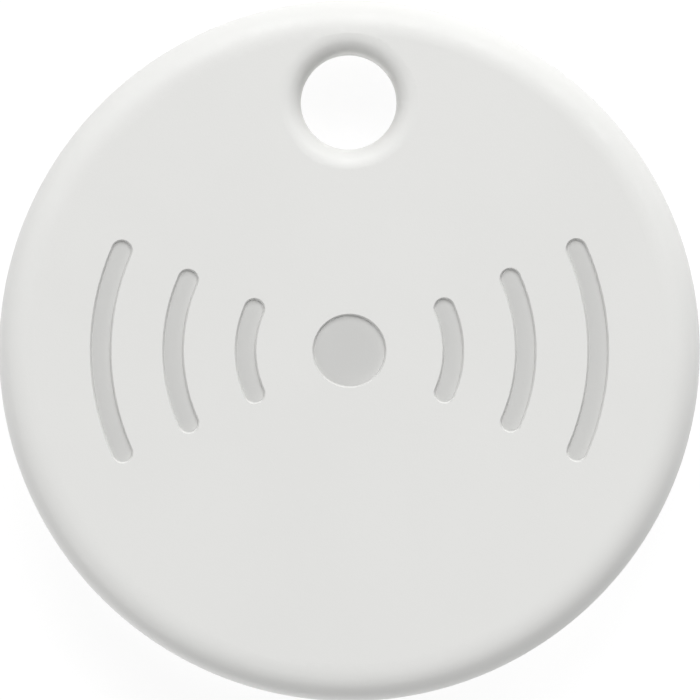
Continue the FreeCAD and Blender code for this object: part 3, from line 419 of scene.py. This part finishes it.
class Build:
    """Gathers closed shapes into one mesh, then makes one piece of it."""

    def __init__(self):
        self.points = []
        self.faces = []

    def grid(self, rows, close_rows=False, caps=False):
        """Joins rows of points, each a closed loop, into quads. The rows close round or take caps."""
        first = len(self.points)
        count = len(rows[0])
        for row in rows:
            self.points.extend(row)
        steps = len(rows) if close_rows else len(rows) - 1
        for i in range(steps):
            for j in range(count):
                a = first + i * count + j
                b = first + i * count + (j + 1) % count
                c = first + (i + 1) % len(rows) * count + (j + 1) % count
                d = first + (i + 1) % len(rows) * count + j
                self.faces.append((a, b, c, d))
        if caps:
            self.faces.append(tuple(first + j for j in reversed(range(count))))
            self.faces.append(tuple(first + (len(rows) - 1) * count + j for j in range(count)))
        return self

    def revolve(self, outline, centre, segments):
        """Turns a closed outline of (radius, z) about an upright axis."""
        rows = [[Vector((centre.x + r * x, centre.y + r * y, z)) for r, z in outline]
                for x, y in circle(segments)]
        return self.grid(rows, close_rows=True)

    def prism(self, outline, low, high):
        """A flat shape with a thickness; outline runs anticlockwise as seen from above."""
        rows = [[Vector((p.x, p.y, z)) for p in outline] for z in (low, high)]
        return self.grid(rows, caps=True)

    def strip(self, path, width, low, high):
        """A flat track of constant width along a path on the board."""
        left, right = [], []
        for i, point in enumerate(path):
            ahead = (path[min(i + 1, len(path) - 1)] - point).to_2d()
            behind = (point - path[max(i - 1, 0)]).to_2d()
            ahead = (ahead if ahead.length else behind).normalized()
            behind = (behind if behind.length else ahead).normalized()
            mean = (ahead + behind).normalized()
            side = Vector((-mean.y, mean.x)) * (width / 2 / max(SHARPEST_MITRE, mean.dot(ahead)))
            left.append(point.to_2d() + side)
            right.append(point.to_2d() - side)
        for i in range(len(path) - 1):
            self.prism([Vector(p) for p in (right[i], right[i + 1], left[i + 1], left[i])], low, high)
        return self

    def plus(self, spot, arm, width, low, high):
        """A plus sign of two crossed bars; arm is half of a bar's length."""
        for way in LEVEL_AXES:
            self.strip([spot - way * arm, spot + way * arm], width, low, high)
        return self

    def done(self, name, slot, body, smooth_deg):
        """Makes the piece, with every face outwards and soft shading on turns under smooth_deg."""
        mesh = bpy.data.meshes.new(name)
        mesh.from_pydata(self.points, [], self.faces)
        mesh.validate()
        solid = bmesh.new()
        solid.from_mesh(mesh)
        bmesh.ops.recalc_face_normals(solid, faces=solid.faces)
        solid.to_mesh(mesh)
        solid.free()
        mesh.materials.append(FINISHES[slot])
        made = bpy.data.objects.new(name, mesh)
        bpy.context.scene.collection.objects.link(made)
        mesh.polygons.foreach_set("use_smooth", [True] * len(mesh.polygons))
        mesh.set_sharp_from_angle(angle=math.radians(smooth_deg))
        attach(made, body)
        return made


# the outer half of a seal's section, in shares of its width and height: flat foot, waisted wall, round rib
SEAL_HALF = ((0.94, 0.0), (1.0, 0.06), (0.95, 0.35), (0.95, 0.6), (1.0, 0.86), (0.93, 0.97), (0.80, 1.0),
             (0.66, 0.97), (0.58, 0.86))
SEAL_VALLEY = (0.50, 0.83)
SEAL_SEGMENTS = 180


def seal_piece(name, node, width):
    """A ribbed silicone ring in place of a plain one."""
    low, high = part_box(node)
    centre = (low + high) / 2
    inner = (high.x - low.x) / 2 - width
    tall = high.z - low.z
    section = (*SEAL_HALF, SEAL_VALLEY, *((1 - u, v) for u, v in reversed(SEAL_HALF)))
    outline = [(inner + u * width, low.z + v * tall) for u, v in section]
    made = Build().revolve(outline, centre, SEAL_SEGMENTS).done(name, "silicone", "seals", 60)
    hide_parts(node)
    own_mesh(made)


# a spring's wire, its closed turns at each end, whose rounds almost touch, and its open turns between them
WIRE_RADIUS = 0.11 * MM
WIRE_SIDES = 10
CLOSED_TURNS = 1.25
CLOSED_PITCH = 2.1 * WIRE_RADIUS
LIVE_TURNS = 5.5
STEPS_PER_TURN = 28


def spring_piece(name, node):
    """A wound spring with closed ends."""
    low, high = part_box(node)
    centre = (low + high) / 2
    coil = (high.x - low.x) / 2 - WIRE_RADIUS
    rise = high.z - low.z - 2 * WIRE_RADIUS - 2 * CLOSED_TURNS * CLOSED_PITCH
    turns = 2 * CLOSED_TURNS + LIVE_TURNS
    count = int(turns * STEPS_PER_TURN)
    rows = []
    for i in range(count + 1):
        turn = turns * i / count
        live = min(max(turn - CLOSED_TURNS, 0.0), LIVE_TURNS)
        z = low.z + WIRE_RADIUS + (turn - live) * CLOSED_PITCH + rise * live / LIVE_TURNS
        around = 2 * math.pi * turn
        out = Vector((math.cos(around), math.sin(around), 0))
        middle = Vector((centre.x, centre.y, z)) + out * coil
        rows.append([middle + (out * x + UP * y) * WIRE_RADIUS for x, y in circle(WIRE_SIDES)])
    made = Build().grid(rows, caps=True).done(name, "gold_plated_wire", "back_half", 70)
    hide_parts(node)
    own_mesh(made)


# the dome's thickness at its crown, its inner radius as a share of the outer one, and how full its curve is
DOME_SKIN = 0.07 * MM
DOME_INSIDE = 0.96
DOME_POWER = 0.8
DOME_RINGS = 10
DOME_SIDES = 48


def dome_piece():
    """The switch's thin dome, flat at its crown."""
    low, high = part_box("switch_dome")
    centre = (low + high) / 2
    radius = (high.x - low.x) / 2
    tall = high.z - low.z
    curve = []
    for i in range(1, DOME_RINGS + 1):
        slope = math.pi / 2 * i / DOME_RINGS
        fall = max(0.0, math.cos(slope)) ** DOME_POWER
        curve.append((radius * math.sin(slope), low.z + (tall - DOME_SKIN) * fall))
    under = [(r * DOME_INSIDE, z) for r, z in curve]
    over = [(r, z + DOME_SKIN) for r, z in reversed(curve)]
    rows = [[Vector((centre.x + r * x, centre.y + r * y, z)) for x, y in circle(DOME_SIDES)]
            for r, z in under + over]
    made = Build().grid(rows, caps=True).done("switch_snap_dome", "switch_steel", "back_half", 60)
    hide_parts("switch_dome")
    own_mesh(made)


dress_nodes()
seal_piece("perimeter_seal_ribbed", "perimeter_seal", 0.55 * MM)
seal_piece("key_hole_seal_ribbed", "key_hole_seal", 0.50 * MM)
spring_piece("sounder_spring_wound_silver", "sounder_spring_silver")
spring_piece("sounder_spring_wound_plate", "sounder_spring_plate")
dome_piece()


# ---------------------------------------------------------------- wiring, solder and marks on the board

TRACK_LOW = BOARD_TOP - 0.004 * MM
TRACK_HIGH = BOARD_TOP + 0.012 * MM
INK_LOW = BOARD_TOP - 0.002 * MM
INK_HIGH = BOARD_TOP + 0.010 * MM
# vertices on the same half micrometre are one point, and points closer than a hundredth of a millimetre
# give no direction
POINTS_PER_METRE = 2e6
SHORTEST_SPAN = 1e-5


def islands(node):
    """A node's separate solids: each one's middle, long direction, and length, width and height."""
    mesh = nodes[node].data
    parent = {}

    def root(key):
        while parent[key] != key:
            key = parent[key]
        return key

    keys = [tuple(round(c * POINTS_PER_METRE) for c in v.co) for v in mesh.vertices]
    for key in keys:
        parent.setdefault(key, key)
    for face in mesh.polygons:
        first = root(keys[face.vertices[0]])
        for i in face.vertices[1:]:
            parent[root(keys[i])] = first
    groups = {}
    for key, vertex in zip(keys, mesh.vertices):
        groups.setdefault(root(key), []).append(vertex.co)
    found = []
    for group in groups.values():
        low = min(p.z for p in group)
        high = max(p.z for p in group)
        middle = sum((p.to_2d() for p in group), Vector((0, 0))) / len(group)
        best = None
        for point in group:
            for other in group:
                span = other.to_2d() - point.to_2d()
                if span.length > SHORTEST_SPAN and (best is None or span.length < best.length):
                    best = span
        way = best.normalized()
        along = [p.to_2d().dot(way) for p in group]
        across = [p.to_2d().dot(Vector((-way.y, way.x))) for p in group]
        size = (max(along) - min(along), max(across) - min(across))
        if size[0] < size[1]:
            way = Vector((-way.y, way.x))
            size = (size[1], size[0])
        found.append((Vector((middle.x, middle.y, low)), way, (*size, high - low)))
    return sorted(found, key=lambda f: (round(f[0].x, 6), round(f[0].y, 6)))


# a solder toe: its reach from the face, its climb as a share of the face's height, how much both shrink
# towards its sides, how deep it sinks into board and face, its pool, and its hollow slope in shares of
# reach and climb
TOE_REACH = 0.26 * MM
TOE_CLIMB = 0.62
TOE_ROUND = 0.6
TOE_STEPS = 6
TOE_SINK = 0.002 * MM
TOE_BEHIND = 0.01 * MM
POOL_EDGE = 0.86
POOL_HIGH = 0.02 * MM
TOE_SLOPE = ((0.5, 0.16), (0.2, 0.48), (0.0, 1.0))


def solder_toes():
    """Concave solder fillets that climb the outer face of each chip's end, with a thin pool round them."""
    solder = Build()
    for node in ("capacitor_ends", "resistor_ends"):
        ends = islands(node)
        for middle, _, (wide, thin, tall) in ends:
            mate = min((e[0] for e in ends if e[0] is not middle), key=lambda p: (p - middle).length)
            out = (middle - mate).to_2d().normalized()
            across = Vector((-out.y, out.x))
            face = middle.to_2d() + out * (thin / 2)
            rows = []
            for k in range(TOE_STEPS + 1):
                u = k / TOE_STEPS * 2 - 1
                swell = math.sqrt(1 - u * u * TOE_ROUND)
                reach = TOE_REACH * swell
                climb = tall * TOE_CLIMB * swell
                at = face + across * (wide / 2 * u)
                section = [(-TOE_BEHIND, -TOE_SINK), (reach, -TOE_SINK), (reach * POOL_EDGE, POOL_HIGH)]
                section += [(reach * r, climb * h) for r, h in TOE_SLOPE]
                section.append((-TOE_BEHIND, climb))
                rows.append([Vector((at.x + out.x * r, at.y + out.y * r, BOARD_TOP + h))
                             for r, h in section])
            solder.grid(rows, caps=True)
    solder.done("chip_solder", "tinned_metal", "back_half", 50)


# how far solder reaches from each node's legs, the shares of that reach along and across a leg, and how much
# a heap shrinks towards its top
LEG_REACH = {"radio_chip_lands": 0.10 * MM, "switch_terminals": 0.34 * MM,
             "sounder_driver_legs": 0.16 * MM}
LONGEST_LEG = 1.5 * MM
HEAP_ALONG = 0.35
HEAP_ACROSS = 0.3
HEAP_ROUND = 0.75
HEAP_LEVELS = 3
HEAP_SIDES = 16
HEAP_SINK = 0.004 * MM
HEAP_HIGHEST = 0.09 * MM
HEAP_OVER = 0.02 * MM


def solder_domes():
    """Low rounded solder heaps at the legs of the driver, the switch and the radio chip."""
    solder = Build()
    for node, reach in LEG_REACH.items():
        for middle, way, (long, wide, tall) in islands(node):
            if long >= LONGEST_LEG:
                continue
            across = Vector((-way.y, way.x))
            half_long = long / 2 + reach * HEAP_ALONG
            half_wide = wide / 2 + reach * HEAP_ACROSS
            rows = []
            for level in range(HEAP_LEVELS + 1):
                lift = level / HEAP_LEVELS
                grow = math.sqrt(1 - lift * lift * HEAP_ROUND)
                z = BOARD_TOP - HEAP_SINK + lift * min(HEAP_HIGHEST, tall * 0.5 + HEAP_OVER)
                ring = [middle.to_2d() + way * (half_long * grow * x) + across * (half_wide * grow * y)
                        for x, y in circle(HEAP_SIDES)]
                rows.append([Vector((*point, z)) for point in ring])
            solder.grid(rows, caps=True)
    solder.done("leg_solder", "tinned_metal", "back_half", 60)


ARC_STEP_DEG = 3.0


def arc_track(rho, start, end):
    """Points along a circle round the coin cell."""
    count = max(1, round(abs(end - start) / ARC_STEP_DEG))
    return [round_cell(rho, start + (end - start) * i / count) for i in range(count + 1)]


# bundles of tracks that run round the cell: the first lane's radius in millimetres, its first and last
# direction in degrees, the number of tracks, and the radius that each end turns off to
TRACK_BUNDLES = (
    (11.25, 12, 54, 3, 12.6, 13.4), (11.25, -12, -46, 4, 12.4, 12.6), (15.3, 5, 27, 2, 14.6, 16.2),
    (11.25, -62, -84, 2, 12.8, 12.3), (11.25, -96, -116, 2, 12.0, 12.6), (14.2, -106, -116, 1, 13.6, 13.7),
    (11.25, -128, -156, 3, 12.2, 12.5), (11.25, 152, 172, 2, 12.0, 12.6), (15.1, 154, 171, 2, 13.6, 14.4),
    (11.25, 105, 137, 2, 12.3, 12.4), (11.25, 74, 98, 2, 12.9, 12.1), (15.0, -30, -46, 2, 14.6, 13.6),
    (15.2, -17, -26, 1, 14.4, 14.3),
)
# bundles inside the middle lane grow outwards and the others inwards, each next track is shorter by the
# stagger at both ends, and a track turns off its lane over the bend
MIDDLE_LANE = 14
LANE_STEP = 0.26
STAGGER_DEG = 1.7
BEND_DEG = 1.2
TRACK_WIDE = 0.13 * MM
SUPPLY_WIDE = 0.34 * MM
HOLE_RADIUS = 0.10 * MM
PAD_RADIUS = 0.20 * MM
HOLE_FLARE = 0.01 * MM
PAD_ABOVE = 0.006 * MM
HOLE_SEGMENTS = 20


def tracks():
    """Copper tracks that show as low ridges under the solder mask, each with a plated hole at its end."""
    copper = Build()
    holes = Build()
    pad_high = TRACK_HIGH + PAD_ABOVE
    ring = [(HOLE_RADIUS, TRACK_LOW), (PAD_RADIUS, TRACK_LOW), (PAD_RADIUS, pad_high),
            (HOLE_RADIUS + HOLE_FLARE, pad_high)]
    for lane, start, end, count, first_out, last_out in TRACK_BUNDLES:
        outward = 1 if lane < MIDDLE_LANE else -1
        turn = 1 if end > start else -1
        for i in range(count):
            rho = lane + outward * LANE_STEP * i
            stagger = STAGGER_DEG * i * turn
            bend = BEND_DEG * turn
            path = [round_cell(first_out, start + stagger)]
            path += arc_track(rho, start + stagger + bend, end - stagger - bend)
            path.append(round_cell(last_out, end - stagger))
            copper.strip(path, SUPPLY_WIDE if i == count - 1 else TRACK_WIDE, TRACK_LOW, TRACK_HIGH)
            holes.revolve(ring, path[-1], HOLE_SEGMENTS)
    copper.done("board_tracks", "board_laminate", "back_half", 30)
    holes.done("plated_holes", "gold_pad", "back_half", 30)


INK_LINE = 0.10 * MM
CORNER_ARM = 0.5 * MM
CONTACT_PLUS = round_cell(12.4, 73)
PLUS_ARM = 0.5 * MM
PLUS_LINE = 0.16 * MM
INK_DOT = round_cell(15.4, -12.5)
DOT_RADIUS = 0.14 * MM
DOT_SIDES = 16


def ink_round(ink, node, margin, corners_only=False):
    """Prints an outline, or only its corners, a margin in millimetres outside a part."""
    middle, way, (long, wide, _) = max(islands(node), key=lambda f: f[2][0])
    across = Vector((-way.y, way.x))
    a, b = long / 2 + margin * MM, wide / 2 + margin * MM
    corners = [Vector((*(middle.to_2d() + way * (a * x) + across * (b * y)), 0))
               for x, y in ((-1, -1), (1, -1), (1, 1), (-1, 1))]
    for i, corner in enumerate(corners):
        after = corners[(i + 1) % 4]
        path = [corner, after]
        if corners_only:
            before = corners[i - 1]
            path = [corner + (before - corner).normalized() * CORNER_ARM, corner,
                    corner + (after - corner).normalized() * CORNER_ARM]
        ink.strip(path, INK_LINE, INK_LOW, INK_HIGH)


def ink_marks():
    """White printed outlines round the parts, a dot by the radio chip and a plus by the contact."""
    ink = Build()
    ink_round(ink, "radio_chip", 0.35, corners_only=True)
    ink_round(ink, "radio_crystal_base", 0.18)
    ink_round(ink, "clock_crystal_base", 0.18)
    ink_round(ink, "sounder_driver", 0.12, corners_only=True)
    ink.plus(CONTACT_PLUS, PLUS_ARM, PLUS_LINE, INK_LOW, INK_HIGH)
    ring = [Vector((INK_DOT.x + DOT_RADIUS * x, INK_DOT.y + DOT_RADIUS * y, 0))
            for x, y in circle(DOT_SIDES)]
    ink.prism(ring, INK_LOW, INK_HIGH)
    ink.done("printed_marks", "plunger_plastic", "back_half", 30)


CELL_PLUS_OFF = 5.4 * MM
CELL_PLUS_ARM = 1.3 * MM
CELL_PLUS_LINE = 0.45 * MM
CELL_PLUS_LOW = CAN_HIGH.z - 0.01 * MM
CELL_PLUS_HIGH = CAN_HIGH.z + 0.006 * MM


def cell_plus():
    """The plus sign raised on the positive face of the coin cell."""
    mark = Build()
    spot = Vector((CELL.x, CELL.y + CELL_PLUS_OFF, 0))
    mark.plus(spot, CELL_PLUS_ARM, CELL_PLUS_LINE, CELL_PLUS_LOW, CELL_PLUS_HIGH)
    mark.done("cell_plus_mark", "cell_cap_steel", "coin_cell", 30)


solder_toes()
solder_domes()
tracks()
ink_marks()
cell_plus()


# ---------------------------------------------------------------- light, floor and camera

TAG_CENTRE = (cad_box[0] + cad_box[1]) / 2
LIGHT_DISTANCE = 1.5
# each light's name, angle from upright, direction (0 right, 90 towards the key hole), strength and width
LIGHTS = (
    ("key_light", 46, 90, 0.86, 1.0),
    ("right_light", 45, 40, 0.28, 0.5),
    ("front_light", 38, 270, 0.13, 0.7),
    ("left_low_light", 66, 220, 0.26, 0.7),
)
WORLD_SEEN = 1.0
WORLD_ON_DULL = 0.02


def softbox(name, zenith, azimuth, strength, width):
    """A square light that faces the tag. Strength is what it adds to a white surface that faces it."""
    data = bpy.data.lights.new(name, "AREA")
    data.shape = "SQUARE"
    data.size = width
    data.energy = strength * math.pi ** 2 * LIGHT_DISTANCE ** 2
    lamp = bpy.data.objects.new(name, data)
    bpy.context.scene.collection.objects.link(lamp)
    tilt, turn = math.radians(zenith), math.radians(azimuth)
    way = Vector((math.sin(tilt) * math.cos(turn), math.sin(tilt) * math.sin(turn), math.cos(tilt)))
    lamp.location = TAG_CENTRE + way * LIGHT_DISTANCE
    lamp.rotation_euler = way.to_track_quat("Z", "Y").to_euler()
    lamp.visible_camera = False


def surroundings():
    """A world that shows and mirrors as white but hardly lights dull surfaces."""
    world = bpy.data.worlds.new("studio")
    bpy.context.scene.world = world
    world.use_nodes = True
    tree = world.node_tree
    back = tree.nodes["Background"]
    back.inputs["Color"].default_value = (1.0, 1.0, 1.0, 1.0)
    rays = tree.nodes.new("ShaderNodeLightPath")
    level = tree.nodes.new("ShaderNodeMapRange")
    level.inputs["To Min"].default_value = WORLD_SEEN
    level.inputs["To Max"].default_value = WORLD_ON_DULL
    tree.links.new(rays.outputs["Is Diffuse Ray"], level.inputs["Value"])
    tree.links.new(level.outputs[0], back.inputs["Strength"])
    bpy.context.scene.view_settings.view_transform = "Standard"


FLOOR_HALF = 4.0
FLOOR_Z = -0.01 * MM
PAPER_BLOB = 0.4


def floor():
    """A plain pale floor just under the tag, which gives off most of its own light."""
    mesh = bpy.data.meshes.new("floor")
    corners = [(FLOOR_HALF * x, FLOOR_HALF * y, FLOOR_Z) for x, y in ((-1, -1), (1, -1), (1, 1), (-1, 1))]
    mesh.from_pydata(corners, [], [(0, 1, 2, 3)])
    ground = bpy.data.objects.new("floor", mesh)
    bpy.context.scene.collection.objects.link(ground)
    paper = Finish("floor_paper", Roughness=0.9, Emission_Strength=0.88, Emission_Color=(1.0, 1.0, 1.0, 1.0))
    paper.colour(paper.mix(paper.noise(PAPER_BLOB), (0.14, 0.14, 0.14), (0.16, 0.16, 0.16)))
    ground.data.materials.append(paper.material)


SENSOR = 36.0
LENS = 500.0
TAG_WIDTH = cad_box[1].x - cad_box[0].x
WIDEST_HEIGHT = 3.6 * MM
NEAREST_SEEN = 0.05
FURTHEST_SEEN = 5.0
LOOK_AT = Vector((0.03 * MM, 0.043 * MM, 0))
ROLL_DEG = 0.18


def camera():
    """Looks straight down on the tag, which just fills the picture."""
    data = bpy.data.cameras.new("camera")
    data.lens = LENS
    data.sensor_width = SENSOR
    data.clip_start = NEAREST_SEEN
    data.clip_end = FURTHEST_SEEN
    eye = bpy.data.objects.new("camera", data)
    bpy.context.scene.collection.objects.link(eye)
    eye.location = LOOK_AT + Vector((0, 0, WIDEST_HEIGHT + TAG_WIDTH * LENS / SENSOR))
    eye.rotation_euler = (0, 0, -math.radians(ROLL_DEG))
    bpy.context.scene.camera = eye


for light in LIGHTS:
    softbox(*light)
surroundings()
floor()
camera()
